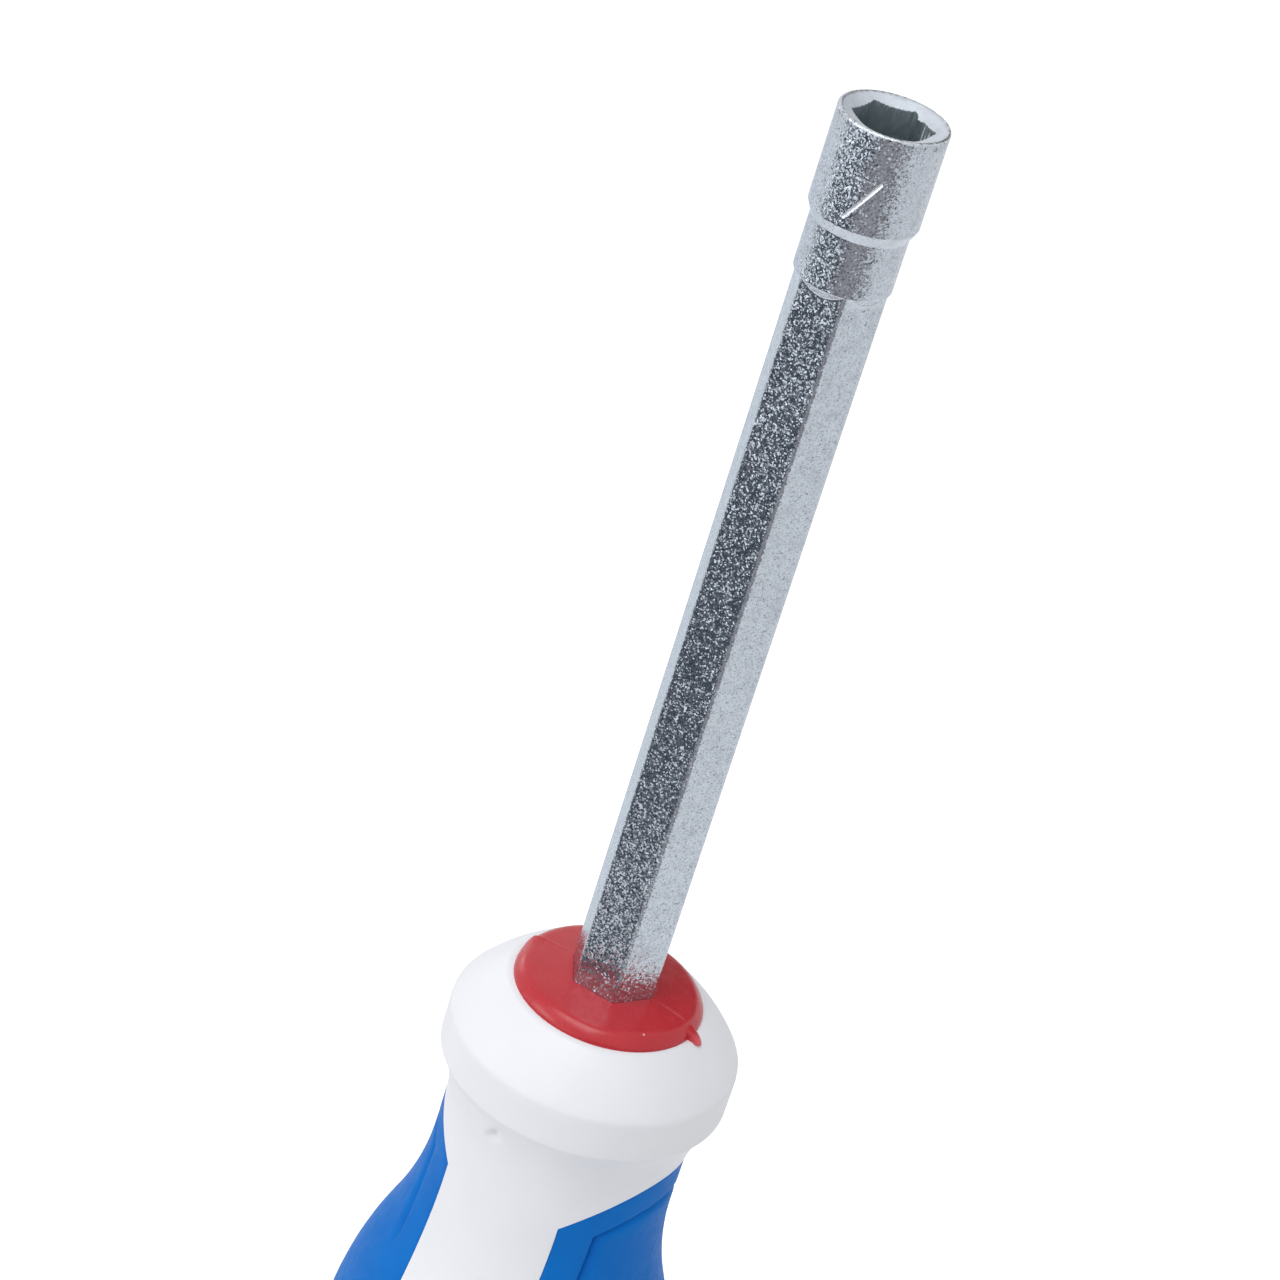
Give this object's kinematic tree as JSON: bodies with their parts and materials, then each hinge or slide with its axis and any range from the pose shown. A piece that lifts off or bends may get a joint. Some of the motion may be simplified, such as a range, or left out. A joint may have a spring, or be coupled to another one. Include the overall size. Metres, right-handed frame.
{
  "type": "nut driver",
  "caption": "Nut driver with a hex socket forged on a hex shank, a round collar at its foot and a swelling flanged handle with soft side grips.",
  "frame": {"origin": "centre of the butt's flat end, on the axis of the blade", "axes": "+Z along the blade from the butt to the mouth of the socket; -Y faces the middle of a white strip; the grip pads are on +X and -X"},
  "size_m": [0.0376, 0.0376, 0.212],
  "materials": {
    "steel": "bright plating over a grained surface",
    "red_plastic": "satin",
    "white_plastic": "satin",
    "blue_soft": "soft satin"
  },
  "bodies": {
    "root": {"socket_blade": "steel", "core": "red_plastic", "handle_body": "white_plastic", "grip_pad_right": "blue_soft", "grip_pad_left": "blue_soft"}
  },
  "joints": []
}
